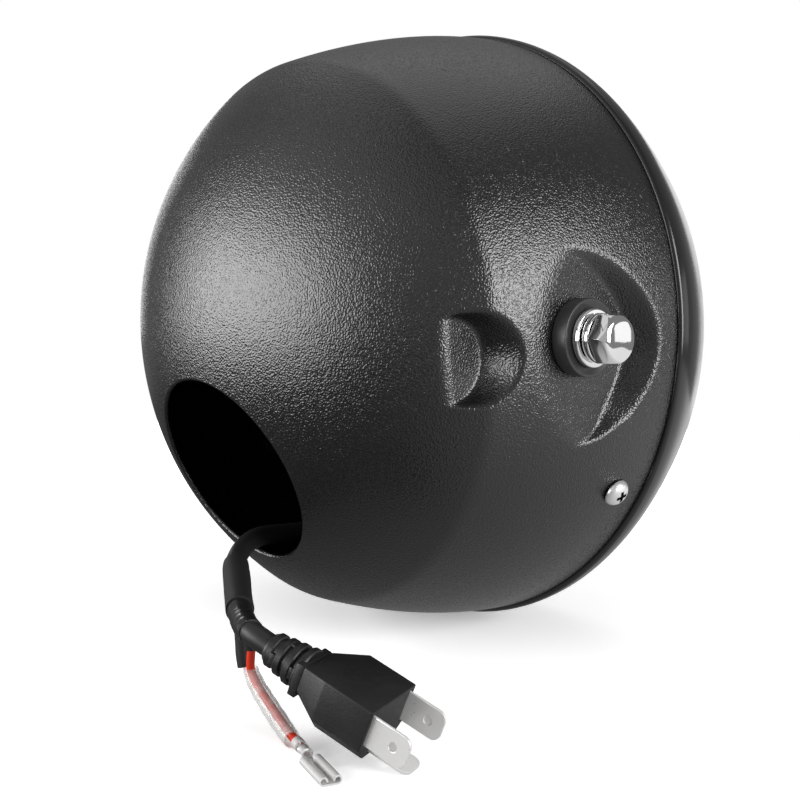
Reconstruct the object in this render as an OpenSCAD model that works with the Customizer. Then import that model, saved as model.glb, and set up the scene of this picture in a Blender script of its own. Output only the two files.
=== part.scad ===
// Round motorcycle headlight bucket with a seven inch LED lamp, side bolts and a plug-in lead.
// The lens looks along -Y, the bucket closes toward +Y, Z is up.
// The origin is the middle of the side bolt line. All sizes are in millimetres.

/* [Bucket] */
// outer diameter of the bucket where the trim ring starts
bucket_d = 198; // [194:0.5:202]
// distance from the trim ring joint back to the middle of the dome
bucket_depth = 103.3; // [100:0.1:106]
// distance from the trim ring joint back to the crease between skirt and dome
crease_t = 62.2; // [60:0.1:65]
// distance from the side bolt line forward to the trim ring joint
bolt_to_joint = 34; // [32:0.5:36]
// drop of the skirt radius forty millimetres behind the joint
skirt_drop = 6.5; // [5.5:0.25:7.5]
// sheet thickness of the pressed bucket
wall = 1.5; // [1.2:0.1:2]

/* [Wire opening] */
// diameter of the round wire opening
opening_d = 62.4; // [52:0.2:66]
// angle of the opening below the lamp axis
opening_drop = 25; // [20:0.5:29]

/* [Side pressings] */
// depth of the flat bolt seat below the skirt, at the middle of the seat
seat_depth = 2.7; // [2:0.1:4]
// distance from the bolt line back to the middle of the seat
seat_back = 7; // [5:0.5:8]
// radius of the bolt seat pressing at its floor
seat_r = 26.2; // [24:0.2:28]
// depth of the rear notch floor below the crease
notch_depth = 8.9; // [7:0.1:9.5]
// distance from the crease back to the middle of the notch
notch_back = 7.8; // [7:0.1:9]
// radius of the rear notch at its floor
notch_r = 11.8; // [10:0.2:12.4]

/* [Trim ring] */
// depth of the trim ring in front of the joint
ring_depth = 32.5; // [31.5:0.5:34]
// sheet thickness of the trim ring
ring_wall = 1.2; // [1:0.1:1.4]

/* [Lamp] */
// gap between the trim ring's widest radius and the lens edge
lens_gap = 12.5; // [12:0.5:14]
// height of the lens face in front of the joint
lens_front = 35.3; // [34.5:0.1:37]
// width of the lamp flange outside its bowl
flange_w = 8; // [7:0.5:8.5]
// distance from the edge of the lamp bowl in to the heat sink
sink_gap = 22; // [21:0.5:26]
// depth of the heat sink fins
fin_depth = 26; // [18:1:28]
// number of cooling slots
fin_slots = 9; // [5:2:11]
// diameter of a projector lens
projector_d = 42; // [36:1:44]
// radius of a side reflector
reflector_r = 18; // [15:0.5:19]

/* [Side bolts] */
// thickness of the rubber spacer
spacer_t = 5; // [4:0.5:6.5]
// outer diameter of the rubber spacer
spacer_d = 22; // [20:0.5:24]
// width across flats of the bolt head
bolt_af = 13; // [12:0.5:14]
// diameter of the bolt shank
bolt_d = 8; // [7:0.5:8]

/* [Lead] */
// diameter of the lamp lead
lead_d = 6; // [5:0.2:6.4]
// width of the plug body
plug_w = 20.8; // [20.4:0.2:24]
// height of the plug body
plug_h = 14; // [13.6:0.2:16]
// length of the plug body
plug_l = 14; // [13:0.2:18]
// width of a plug blade
blade_w = 8; // [7:0.5:8]

/* [Hidden] */
$fn = 96;
clear = 0.3;
joint_y = -bolt_to_joint;
joint_r = bucket_d / 2;
drop_at = 40;
crease_r = skirt_r(crease_t);
dome_h = bucket_depth - crease_t;
dome_r = (crease_r * crease_r + dome_h * dome_h) / (2 * dome_h);
dome_t = bucket_depth - dome_r;
lap = 6;
ring_r = joint_r + clear + ring_wall;

// pressings on the flanks, depth positions behind the joint
seat_t = bolt_to_joint + seat_back;
seat_x = skirt_r(seat_t) - seat_depth;
seat_z = -3;
seat_slope = 1.75;
notch_t = crease_t + notch_back;
notch_x = crease_r - notch_depth;
notch_z = -6.3;
notch_slope = 2.8;
press_h = 20;

// trim screw position behind the joint and around the axis
screw_t = 12;
screw_angle = 28;
screw_head_d = 8.4;
screw_d = 4;

// lamp stack, distances in front of the joint are negative
lens_r = ring_r - lens_gap;
lens_dome_r = lens_r - 6;
lens_t = 2.5;
flange_t = -25;
bowl_r = lens_r - flange_w;
bowl_wall = 2;
bowl_rear = 8;
lip_r = lens_dome_r + 1;
retain_t = -18;
retain_r = lens_r + 4.5;
mount_t = -4;
mount_r = joint_r - wall - clear;
aim_r = bowl_r + 8.5;
sink_r = bowl_r - sink_gap;
gland_z = 13.5 - bowl_r;
gland_r = 7;
vent_r = bowl_r - 9.3;
vent_angle = 28.7;
vent_h = 3;
vent_cap_r = 6;
vent_stem_r = 2.2;

// bezel, projectors, side reflectors and board
bezel_t = -20;
bezel_wall = 1.6;
tube_gap = 1.5;
tube_wall = 2;
tube_lip = 5;
tube_r = projector_d / 2 + tube_gap;
lens_bulge = 8;
post_gap = 10;
post_z = projector_d / 2 + post_gap;
bowl_gap = 35;
bowl_x = bowl_r - bowl_gap;
reflector_hole = 6;
reflector_wall = 1.4;
halo_h = 2.8;
halo_in = 11;
halo_out = 6;
led_t = 2.2;
board_wall = 1.6;
board_gap = 4;
chip = 5;
chip_h = 1;

// bolt stack on each flank
bolt_floor = seat_x + spacer_t;
flat_washer_t = 1.6;
flat_washer_d = 16.4;
spring_washer_t = 2.2;
spring_washer_d = 14;
bolt_head_h = 6.5;
nut_h = 6.5;
shank_in = 13;
bolt_seat = bolt_floor + flat_washer_t + spring_washer_t;

// plug placement, at the middle of the widest rear section
plug_at = [-81, 76.3, -85];
plug_turn = [2, 22, -160];
taper_l = 9.2;
neck_w = 11;
neck_h = 8;
boot_l = 12.4;
blade_y = 8.6;
blade_z = 1.6;
cross_y = -0.4;
cross_z = -5.8;

// route of the lamp lead from the gland to the plug boot
lead_route = [
    [0, -12, -66.5], [0, 6, -66.5], [2, 28, -66], [1, 44, -65.4], [-8, 57, -68],
    [-23, 67, -71.4], [-37.3, 75.8, -73.6], [-45, 80, -74.4]
];
tail_route = [
    [-45, 80, -74.4], [-50.6, 82.8, -74.4], [-56.6, 84.7, -74.6], [-62.2, 83.1, -76.9], [-65.7, 81.8, -78.4]
];
wire_route = [
    [-52.4, 82, -78.6], [-50.6, 81.2, -82.6], [-50, 80.6, -86.5], [-53.5, 80.6, -90],
    [-59, 80.8, -93.2], [-65, 81, -96.4], [-68.6, 81.1, -98.1], [-71.2, 81.7, -98.5]
];
stub_route = [[-40.6, 77.4, -78.4], [-41, 77.4, -81.6], [-41.4, 77.4, -84.8], [-42, 77.2, -88]];

function unit(v) = v / norm(v);
function skirt_r(t) = joint_r - skirt_drop * pow(max(t, 0) / drop_at, 1.75);
function side(s) = s == "right" ? -1 : 1;

// smooth route through hand-placed points
function route_point(p, i, u) = let (
        a = p[max(i - 1, 0)], b = p[i], c = p[i + 1], d = p[min(i + 2, len(p) - 1)]
    ) 0.5 * ((2 * b) + (c - a) * u + (2 * a - 5 * b + 4 * c - d) * u * u
        + (3 * b - a - 3 * c + d) * u * u * u);
function route(p, n) = concat(
    [for (i = [0 : len(p) - 2]) for (k = [0 : n - 1]) route_point(p, i, k / n)], [p[len(p) - 1]]);
function part_of(q, a, b) = [for (i = [a : b]) q[i]];
function heading(q, i) = unit(q[min(i + 1, len(q) - 1)] - q[max(i - 1, 0)]);
function flat_side(v, n) = unit(n - v * (n * v));
function side_vectors(q, i, n) = i >= len(q) ? []
    : let (m = flat_side(heading(q, i), n)) concat([m], side_vectors(q, i + 1, m));
function ring_at(c, t, n, r, k) = [for (j = [0 : k - 1])
    c + r * (cos(360 * j / k) * n + sin(360 * j / k) * cross(t, n))];
function tube_points(q, r, k) = let (s = side_vectors(q, 0, [1, 0, 0.2]))
    [for (i = [0 : len(q) - 1]) each ring_at(q[i], heading(q, i), s[i], r, k)];

module cord(q, r, k) {
    m = len(q);
    polyhedron(
        points = tube_points(q, r, k),
        faces = concat(
            [[for (j = [0 : k - 1]) j]],
            [for (i = [0 : m - 2]) for (j = [0 : k - 1]) let (a = i * k + j, b = i * k + (j + 1) % k)
                [a, a + k, b + k, b]],
            [[for (j = [k - 1 : -1 : 0]) (m - 1) * k + j]]
        )
    );
}

module pipe(q, r, bore, k) {
    m = len(q);
    h = m * k;
    polyhedron(
        points = concat(tube_points(q, r, k), tube_points(q, bore, k)),
        faces = concat(
            [for (i = [0 : m - 2]) for (j = [0 : k - 1]) let (a = i * k + j, b = i * k + (j + 1) % k)
                [a, a + k, b + k, b]],
            [for (i = [0 : m - 2]) for (j = [0 : k - 1]) let (a = i * k + j, b = i * k + (j + 1) % k)
                [h + b, h + b + k, h + a + k, h + a]],
            [for (j = [0 : k - 1]) let (b = (j + 1) % k) [j, b, h + b, h + j]],
            [for (j = [0 : k - 1]) let (o = (m - 1) * k, b = (j + 1) % k)
                [o + b, o + j, h + o + j, h + o + b]]
        )
    );
}

// turned shapes: drawn upright, height is the distance behind the joint
module turned() {
    translate([0, joint_y, 0]) rotate([-90, 0, 0]) rotate_extrude() children();
}

module behind_joint(t, x = 0, z = 0) {
    translate([x, joint_y + t, z]) rotate([-90, 0, 0]) children();
}

module annulus(t0, t1, r0, r1) {
    turned() polygon([[r0, t0], [r1, t0], [r1, t1], [r0, t1]]);
}

module flank(s) {
    rotate([0, 90 * side(s), 0]) children();
}

// depth at which the skirt meets the dome, found by halving the interval
function skirt_in(t, inset) = skirt_r(t) - inset * 1.04;
function dome_in(t, inset) = sqrt(pow(dome_r - inset, 2) - pow(t - dome_t, 2));
function meeting_t(lo, hi, inset, n) = let (mid = (lo + hi) / 2) n == 0 ? mid
    : skirt_in(mid, inset) < dome_in(mid, inset)
        ? meeting_t(mid, hi, inset, n - 1) : meeting_t(lo, mid, inset, n - 1);

module bucket_form(inset, front) {
    tc = inset == 0 ? crease_t : meeting_t(crease_t - 20, crease_t + 10, inset, 24);
    r = dome_r - inset;
    a0 = asin((tc - dome_t) / r);
    turned() polygon(concat(
        [[0, front], [joint_r - inset, front]],
        [for (i = [0 : 10]) [skirt_in(tc * i / 10, inset), tc * i / 10]],
        [for (i = [1 : 12]) let (a = a0 + (90 - a0) * i / 12) [r * cos(a), dome_t + r * sin(a)]]
    ));
}

module pressings(grow) {
    for (s = [-1, 1]) {
        translate([s * (seat_x - grow), joint_y + seat_t, seat_z]) rotate([0, 90 * s, 0])
            cylinder(h = press_h, r1 = seat_r + grow, r2 = seat_r + grow + press_h / seat_slope);
        translate([s * (notch_x - grow), joint_y + notch_t, notch_z]) rotate([0, 90 * s, 0])
            cylinder(h = press_h, r1 = notch_r + grow, r2 = notch_r + grow + press_h / notch_slope);
    }
}

module bucket_shell() {
    color([0.05, 0.05, 0.055]) difference() {
        difference() {
            bucket_form(0, -lap);
            pressings(0);
        }
        difference() {
            bucket_form(wall, -lap - 1);
            pressings(wall);
        }
        translate([0, joint_y + dome_t, 0]) rotate([-90 - opening_drop, 0, 0])
            cylinder(h = dome_r + 10, d = opening_d);
        rotate([0, 90, 0]) cylinder(h = 2 * joint_r, r = bolt_d / 2 + 0.4, center = true);
        for (s = ["right", "left"]) trim_screw_axis(s)
            translate([0, 0, -8]) cylinder(h = 20, r = screw_d / 2 + 0.3);
    }
}

// axis of a trim screw, height zero lies on the bucket surface, pointing outward
module trim_screw_axis(s) {
    translate([0, joint_y + screw_t, 0]) rotate([0, side(s) * (90 + screw_angle), 0])
        translate([0, 0, skirt_r(screw_t)]) children();
}

module trim_ring() {
    w = ring_wall;
    outer = [
        [ring_r, 0], [ring_r, -3], [ring_r - 0.8, -6.5], [ring_r - 3, -12], [ring_r - 6, -18],
        [ring_r - 9, -24], [ring_r - 12, -29], [ring_r - 14.4, 0.4 - ring_depth],
        [ring_r - 15.6, -ring_depth]
    ];
    inner = [
        [lip_r, -ring_depth], [lip_r, w - ring_depth], [ring_r - 15.4, w - ring_depth],
        [ring_r - 12 - w, -28.4], [ring_r - 9 - w, -23.4], [ring_r - 6 - w, -17.4],
        [ring_r - 3 - w, -11.4], [ring_r - 0.8 - w, -lap - 0.4], [ring_r - w, -lap - 0.2], [ring_r - w, 0]
    ];
    color([0.04, 0.04, 0.04]) turned() polygon(concat(outer, inner));
}

// lens face as an arc of points from the middle to the dome edge
function lens_curve(r_edge, t_mid, rise, n) = let (big = (r_edge * r_edge + rise * rise) / (2 * rise))
    [for (i = [0 : n]) let (r = r_edge * i / n) [r, t_mid + big - sqrt(big * big - r * r)]];

module lens() {
    rise = lens_front + flange_t - 0.8;
    front = lens_curve(lens_dome_r, -lens_front, rise, 8);
    back = lens_curve(lens_dome_r - 3, lens_t - lens_front, rise - 0.4, 8);
    color([0.9, 0.93, 0.95, 0.35]) turned() polygon(concat(
        front, [[lens_r, flange_t], [lens_r, flange_t + 2.4], [lens_dome_r - 3, flange_t + 2.4]],
        [for (i = [8 : -1 : 0]) back[i]]
    ));
}

module lens_seal() {
    color([0.02, 0.02, 0.02]) annulus(flange_t + 2.4, flange_t + 3.4, lens_dome_r, lens_r - 0.5);
}

module lamp_housing() {
    rim = flange_t + 3.4;
    slot = 2 * sink_r / (2 * fin_slots + 1);
    color([0.12, 0.12, 0.13]) difference() {
        union() {
            turned() polygon([
                [bowl_r - bowl_wall, rim], [lens_r, rim], [lens_r, retain_t], [bowl_r, retain_t],
                [bowl_r, bowl_rear - 5], [bowl_r - 5, bowl_rear], [0, bowl_rear],
                [0, bowl_rear - 4], [bowl_r - bowl_wall - 3, bowl_rear - 4],
                [bowl_r - bowl_wall, bowl_rear - 7]
            ]);
            behind_joint(bowl_rear - 1) cylinder(h = fin_depth + 1, r = sink_r);
        }
        for (i = [0 : fin_slots - 1])
            translate([-sink_r + slot * (2 * i + 1), joint_y + bowl_rear + 3, -joint_r])
                cube([slot, fin_depth + 10, 2 * joint_r]);
        behind_joint(bowl_rear - 10, 0, gland_z) cylinder(h = 20, r = lead_d / 2 + 0.5);
        rotate([0, vent_angle, 0]) behind_joint(bowl_rear - 10, 0, vent_r) cylinder(h = 20, r = 2.5);
    }
}

module inner_bezel() {
    color([0.03, 0.03, 0.03]) difference() {
        annulus(bezel_t, bezel_t + bezel_wall, 0, bowl_r - bowl_wall - clear);
        for (z = [-post_z, post_z]) behind_joint(bezel_t - 2, 0, z) cylinder(h = 6, r = tube_r + clear);
        for (x = [-bowl_x, bowl_x])
            behind_joint(bezel_t - 2, x, 0) cylinder(h = 6, r = reflector_r + clear);
    }
}

module projector_lens(z) {
    r = projector_d / 2;
    big = (r * r + lens_bulge * lens_bulge) / (2 * lens_bulge);
    color([0.85, 0.9, 0.95, 0.6]) translate([0, joint_y + bezel_t - clear, z]) rotate([90, 0, 0])
        intersection() {
            cylinder(h = lens_bulge + 1, r = r);
            translate([0, 0, lens_bulge - big]) sphere(r = big + 0.001);
        }
}

module projector_tube(z) {
    h = led_t - bezel_t;
    color([0.5, 0.5, 0.52]) behind_joint(bezel_t - clear, 0, z) difference() {
        cylinder(h = h, r = tube_r);
        translate([0, 0, tube_wall]) cylinder(h = h, r = tube_r - tube_wall);
        translate([0, 0, -1]) cylinder(h = 2 * tube_wall + 1, r = tube_r - tube_lip);
    }
}

// a point on the reflector bowl, share 0 at the board and 1 at the bezel
function bowl_point(u, inset) = [
    sqrt((1 - u) * pow(reflector_hole, 2) + u * pow(reflector_r, 2)) - inset,
    (1 - u) * (led_t - clear) + u * bezel_t
];

module reflector(s) {
    color([0.8, 0.8, 0.8]) translate([side(s) * bowl_x, joint_y, 0]) rotate([-90, 0, 0]) rotate_extrude()
        polygon(concat(
            [for (i = [0 : 8]) bowl_point(i / 8, 0)],
            [for (i = [8 : -1 : 0]) bowl_point(i / 8, reflector_wall)]
        ));
}

module halo_light_guide() {
    color([0.95, 0.95, 0.92]) annulus(bezel_t - halo_h, bezel_t, bowl_r - halo_in, bowl_r - halo_out);
}

module led_board() {
    color([0.1, 0.3, 0.15]) difference() {
        annulus(led_t, led_t + board_wall, 0, bowl_r - bowl_wall - board_gap);
        behind_joint(led_t - board_wall, 0, gland_z) cylinder(h = 3 * board_wall, r = gland_r + chip_h);
    }
}

module led_chips() {
    color([0.95, 0.85, 0.2]) for (p = [[0, post_z], [0, -post_z], [bowl_x, 0], [-bowl_x, 0]])
        translate([p[0] - chip / 2, joint_y + led_t - chip_h, p[1] - chip / 2]) cube([chip, chip_h, chip]);
}

module breather_vent() {
    color([0.05, 0.05, 0.05]) rotate([0, vent_angle, 0]) behind_joint(bowl_rear, 0, vent_r) {
        cylinder(h = vent_h, r = vent_cap_r);
        translate([0, 0, -1.2 * vent_h]) cylinder(h = 1.3 * vent_h, r = vent_stem_r);
    }
}

module cable_gland() {
    color([0.03, 0.03, 0.03]) behind_joint(bowl_rear, 0, gland_z) difference() {
        union() {
            cylinder(h = 5, r = gland_r, $fn = 6);
            cylinder(h = 14, r = 5.2);
        }
        translate([0, 0, -1]) cylinder(h = 20, r = lead_d / 2 + 0.2);
    }
}

module retaining_ring() {
    color([0.55, 0.55, 0.57]) difference() {
        annulus(retain_t, retain_t + 1.5, bowl_r + clear, retain_r);
        for (a = [0, 120, 240]) rotate([0, a, 0])
            behind_joint(retain_t - 5, 0, aim_r) cylinder(h = 10, r = 2.2);
    }
}

module mounting_ring() {
    color([0.6, 0.6, 0.62]) difference() {
        union() {
            annulus(mount_t, mount_t + 1.5, bowl_r + 2, mount_r);
            for (s = ["right", "left"]) trim_screw_axis(s)
                translate([-9, -screw_t + mount_t, -4.4]) cube([18, screw_t - mount_t + 7, 1.5]);
        }
        for (a = [0, 120, 240]) rotate([0, a, 0])
            behind_joint(mount_t - 1, 0, aim_r) cylinder(h = 10, r = 2.2);
        for (s = ["right", "left"]) trim_screw_axis(s)
            translate([0, 0, -8]) cylinder(h = 20, r = screw_d / 2 + 0.3);
    }
}

module aim_screw(a) {
    color([0.75, 0.75, 0.77]) rotate([0, a, 0]) behind_joint(mount_t + 1.5, 0, aim_r) difference() {
        union() {
            cylinder(h = 2.4, r = 3.6);
            translate([0, 0, retain_t - mount_t - 1.3]) cylinder(h = mount_t - retain_t + 1.5, r = 2);
        }
        translate([-3, -0.5, 1.2]) cube([6, 1, 3]);
    }
}

module aim_spring(a) {
    color([0.7, 0.7, 0.72]) rotate([0, a, 0]) for (i = [0 : 4])
        behind_joint(retain_t + 1.5 + i * (mount_t - retain_t - 1.5) / 5, 0, aim_r) difference() {
            cylinder(h = (mount_t - retain_t - 1.5) / 5 + 0.001, r = i % 2 == 0 ? 3.4 : 3);
            translate([0, 0, -1]) cylinder(h = 8, r = 2.3);
        }
}

module trim_screw(s) {
    color([0.75, 0.75, 0.77]) trim_screw_axis(s) difference() {
        union() {
            intersection() {
                translate([0, 0, 0.1]) cylinder(h = 2.9, d = screw_head_d);
                translate([0, 0, -2.6]) sphere(d = 11.2);
            }
            translate([0, 0, -8]) cylinder(h = 9, d = screw_d);
        }
        for (a = [0, 90]) rotate([0, 0, a + 20]) translate([-2.2, -0.45, 1.4]) cube([4.4, 0.9, 3]);
    }
}

module trim_nut(s) {
    color([0.65, 0.65, 0.66]) trim_screw_axis(s) difference() {
        translate([0, 0, -7.7]) cylinder(h = 3.2, r = 4.04, $fn = 6);
        translate([0, 0, -9]) cylinder(h = 6, d = screw_d + 0.2);
    }
}

module side_bolt(s) {
    color([0.8, 0.8, 0.82]) flank(s) {
        translate([0, 0, bolt_seat]) intersection() {
            cylinder(h = bolt_head_h, r = bolt_af / 2 / cos(30), $fn = 6);
            cylinder(h = bolt_head_h, r1 = bolt_af / 2 + 3, r2 = bolt_af / 2 - 0.3);
        }
        translate([0, 0, seat_x - shank_in]) cylinder(h = bolt_seat - seat_x + shank_in, d = bolt_d);
    }
}

module flat_washer(s) {
    color([0.8, 0.8, 0.82]) flank(s) translate([0, 0, bolt_floor]) difference() {
        cylinder(h = flat_washer_t, d = flat_washer_d);
        translate([0, 0, -1]) cylinder(h = 5, d = bolt_d + 0.4);
    }
}

module spring_washer(s) {
    color([0.75, 0.75, 0.77]) flank(s) translate([0, 0, bolt_floor + flat_washer_t]) difference() {
        cylinder(h = spring_washer_t, d = spring_washer_d);
        translate([0, 0, -1]) cylinder(h = 5, d = bolt_d + 0.4);
        rotate([0, 0, 200]) translate([2, -0.4, -1]) cube([8, 0.8, 5]);
    }
}

module rubber_spacer(s) {
    color([0.1, 0.1, 0.1]) flank(s) translate([0, 0, seat_x]) difference() {
        cylinder(h = spacer_t, d = spacer_d);
        translate([0, 0, -1]) cylinder(h = spacer_t + 2, d = bolt_d + 0.4);
    }
}

module bolt_nut(s) {
    color([0.65, 0.65, 0.66]) flank(s) translate([0, 0, seat_x - wall - nut_h]) difference() {
        cylinder(h = nut_h, r = bolt_af / 2 / cos(30), $fn = 6);
        translate([0, 0, -1]) cylinder(h = 9, d = bolt_d + 0.2);
    }
}

module lamp_lead() {
    color([0.03, 0.03, 0.03]) cord(route(lead_route, 5), lead_d / 2, 12);
}

module lead_sleeve() {
    q = part_of(route(lead_route, 5), 20, 30);
    color([0.02, 0.02, 0.02]) pipe(q, lead_d / 2 + 0.7, lead_d / 2 + 0.1, 12);
}

module split_sleeve() {
    q = concat(part_of(route(lead_route, 5), 30, 35), part_of(route(tail_route, 5), 1, 9));
    color([0.02, 0.02, 0.02]) pipe(q, lead_d / 2 + 0.6, lead_d / 2 + 0.1, 12);
}

module plug_tail() {
    color([0.03, 0.03, 0.03]) cord(route(tail_route, 4), lead_d / 2, 12);
}

module at_plug() {
    translate(plug_at) rotate(plug_turn) children();
}

module plug_boot() {
    rib = 2;
    color([0.03, 0.03, 0.03]) at_plug() translate([-taper_l, 0, 0]) rotate([0, -90, 0]) difference() {
        union() {
            cylinder(h = 2, r = 6);
            translate([0, 0, 1.9]) cylinder(h = boot_l - 1.9, r1 = 4.5, r2 = 3.7);
            for (i = [1 : 3]) translate([0, 0, i * (rib + 1.2)])
                cylinder(h = rib, r = 6 - 0.5 * i);
        }
        translate([0, 0, boot_l - 4]) cylinder(h = 6, r = lead_d / 2 + 0.2);
    }
}

module plug_body() {
    c = 3.4;
    w = plug_w / 2;
    h = plug_h / 2;
    color([0.03, 0.03, 0.03]) at_plug() {
        difference() {
            rotate([90, 0, 90]) linear_extrude(height = plug_l)
                polygon([[c - w, -h], [w - c, -h], [w, c - h], [w, h], [-w, h], [-w, c - h]]);
            for (y = [-blade_y, blade_y]) translate([plug_l, y, blade_z])
                cube([16, 1, blade_w + 0.2], center = true);
            translate([plug_l, cross_y, cross_z]) cube([16, blade_w + 0.2, 1], center = true);
        }
        plug_taper(w, h, c);
    }
}

// tapered rear of the plug body, from the full section down to the neck
module plug_taper(w, h, c) {
    a = [[c - w, -h], [w - c, -h], [w, c - h], [w, h], [-w, h], [-w, c - h]];
    b = [for (q = a) [q[0] * neck_w / plug_w, q[1] * neck_h / plug_h]];
    polyhedron(
        points = concat([for (q = a) [0, q[0], q[1]]], [for (q = b) [-taper_l, q[0], q[1]]]),
        faces = concat(
            [[for (j = [0 : 5]) 5 - j]],
            [for (j = [0 : 5]) let (k = (j + 1) % 6) [j, k, k + 6, j + 6]],
            [[for (j = [0 : 5]) j + 6]]
        )
    );
}

module blade(len) {
    difference() {
        translate([-8, -0.4, -blade_w / 2]) cube([len + 7, 0.8, blade_w]);
        rotate([90, 0, 0]) translate([len - 5, 0, -3]) cylinder(h = 6, d = 2.6);
    }
    translate([len - 1.001, -0.4, 1 - blade_w / 2]) cube([1.5, 0.8, blade_w - 2]);
}

module plug_blade_near() {
    color([0.8, 0.8, 0.78]) at_plug() translate([plug_l, -blade_y, blade_z]) blade(11);
}

module plug_blade_far() {
    color([0.8, 0.8, 0.78]) at_plug() translate([plug_l, blade_y, blade_z]) blade(11);
}

module plug_blade_cross() {
    color([0.8, 0.8, 0.78]) at_plug() translate([plug_l, cross_y, cross_z]) rotate([90, 0, 0]) blade(11);
}

module red_wire() {
    color([0.7, 0.05, 0.03]) cord(route(wire_route, 5), 1.1, 8);
}

module clear_sleeve() {
    color([0.9, 0.9, 0.9, 0.4]) pipe(part_of(route(wire_route, 5), 10, 30), 2.3, 1.3, 8);
}

module spade_terminal() {
    color([0.8, 0.8, 0.78]) translate([-70.6, 81.5, -100.4]) rotate([0, 0, 163]) {
        difference() {
            translate([0, -2, 0]) cube([8.5, 4, 3.6]);
            translate([-1, -1.3, 0.6]) cube([11, 2.6, 2.6]);
        }
        translate([8.4, -1.2, 0]) cube([2.2, 2.4, 0.8]);
        translate([10.5, -3.3, 0]) difference() {
            cube([13.5, 6.6, 2.8]);
            translate([-1, 0.8, 0.8]) cube([20, 5, 1.1]);
            translate([-1, 2.5, 1.5]) cube([20, 1.6, 3]);
        }
    }
}

module stub_sleeve() {
    color([0.02, 0.02, 0.02]) cord(route(stub_route, 3), 1.9, 8);
}

bucket_shell();
trim_ring();
lens();
lens_seal();
lamp_housing();
inner_bezel();
projector_lens(post_z);  // projector_lens_upper
projector_lens(-post_z);  // projector_lens_lower
projector_tube(post_z);  // projector_tube_upper
projector_tube(-post_z);  // projector_tube_lower
reflector("right");  // reflector_right
reflector("left");  // reflector_left
halo_light_guide();
led_board();
led_chips();
breather_vent();
cable_gland();
retaining_ring();
mounting_ring();
aim_screw(0);  // aim_screw_top
aim_screw(120);  // aim_screw_side
aim_screw(240);  // pivot_screw
aim_spring(0);  // aim_spring_top
aim_spring(120);  // aim_spring_side
aim_spring(240);  // pivot_spring
trim_screw("right");  // trim_screw_right
trim_screw("left");  // trim_screw_left
trim_nut("right");  // trim_nut_right
trim_nut("left");  // trim_nut_left
side_bolt("right");  // side_bolt_right
side_bolt("left");  // side_bolt_left
flat_washer("right");  // flat_washer_right
flat_washer("left");  // flat_washer_left
spring_washer("right");  // spring_washer_right
spring_washer("left");  // spring_washer_left
rubber_spacer("right");  // rubber_spacer_right
rubber_spacer("left");  // rubber_spacer_left
bolt_nut("right");  // bolt_nut_right
bolt_nut("left");  // bolt_nut_left
lamp_lead();
lead_sleeve();
split_sleeve();
plug_tail();
plug_boot();
plug_body();
plug_blade_near();
plug_blade_far();
plug_blade_cross();
red_wire();
clear_sleeve();
spade_terminal();
stub_sleeve();
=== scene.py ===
import bpy
import math
import numpy as np
from mathutils import Euler, Matrix, Vector


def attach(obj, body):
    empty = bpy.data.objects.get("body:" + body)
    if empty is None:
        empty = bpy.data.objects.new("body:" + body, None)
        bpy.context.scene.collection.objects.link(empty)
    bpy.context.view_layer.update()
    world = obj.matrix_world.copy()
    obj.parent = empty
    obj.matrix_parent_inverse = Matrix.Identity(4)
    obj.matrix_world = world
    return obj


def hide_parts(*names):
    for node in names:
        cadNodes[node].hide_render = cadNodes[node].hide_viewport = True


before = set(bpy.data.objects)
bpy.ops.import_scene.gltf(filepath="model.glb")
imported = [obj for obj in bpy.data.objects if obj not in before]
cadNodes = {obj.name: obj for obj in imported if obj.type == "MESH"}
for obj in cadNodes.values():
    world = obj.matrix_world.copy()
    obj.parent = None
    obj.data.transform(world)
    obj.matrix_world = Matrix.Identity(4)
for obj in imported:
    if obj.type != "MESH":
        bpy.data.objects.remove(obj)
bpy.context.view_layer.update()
mm = 0.001  # sizes and places below are in millimetres
jointY = -34.0  # the edge where bucket and trim ring meet
tiny = 1e-6
bpy.ops.object.select_all(action="DESELECT")


# small tools used by all pieces
def onlySelect(*things):
    bpy.ops.object.select_all(action="DESELECT")
    for thing in things:
        thing.select_set(True)
    bpy.context.view_layer.objects.active = things[0]


def editMode(obj):
    onlySelect(obj)
    bpy.ops.object.mode_set(mode="EDIT")
    bpy.ops.mesh.select_all(action="DESELECT")


def objectMode():
    bpy.ops.object.mode_set(mode="OBJECT")


def addPrimitive(kind, name, **settings):
    bpy.ops.object.select_all(action="DESELECT")
    getattr(bpy.ops.mesh, "primitive_" + kind + "_add")(**settings)
    obj = bpy.context.object
    obj.name = name
    obj.data.name = name
    bpy.ops.object.transform_apply(location=True, rotation=True, scale=True)
    return obj


def applyModifier(obj, kind, **settings):
    onlySelect(obj)
    modifier = obj.modifiers.new(kind.lower(), kind)
    for key, value in settings.items():
        setattr(modifier, key, value)
    bpy.ops.object.modifier_apply(modifier=modifier.name)


def carve(obj, cutter, operation="DIFFERENCE"):
    applyModifier(obj, "BOOLEAN", object=cutter, operation=operation, solver="EXACT")
    bpy.data.objects.remove(cutter)


def soften(obj, width, segments=2, angle=30):
    applyModifier(obj, "BEVEL", width=width * mm, segments=segments, limit_method="ANGLE",
                  angle_limit=math.radians(angle), harden_normals=False)


def shade(obj, angle=40):
    onlySelect(obj)
    bpy.ops.object.shade_smooth_by_angle(angle=math.radians(angle))


def faceOut(obj, weld=0.000002):
    # points closer than weld, in metres, are merged, then all normals are turned outwards
    editMode(obj)
    bpy.ops.mesh.select_all(action="SELECT")
    bpy.ops.mesh.remove_doubles(threshold=weld)
    bpy.ops.mesh.normals_make_consistent(inside=False)
    objectMode()


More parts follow.
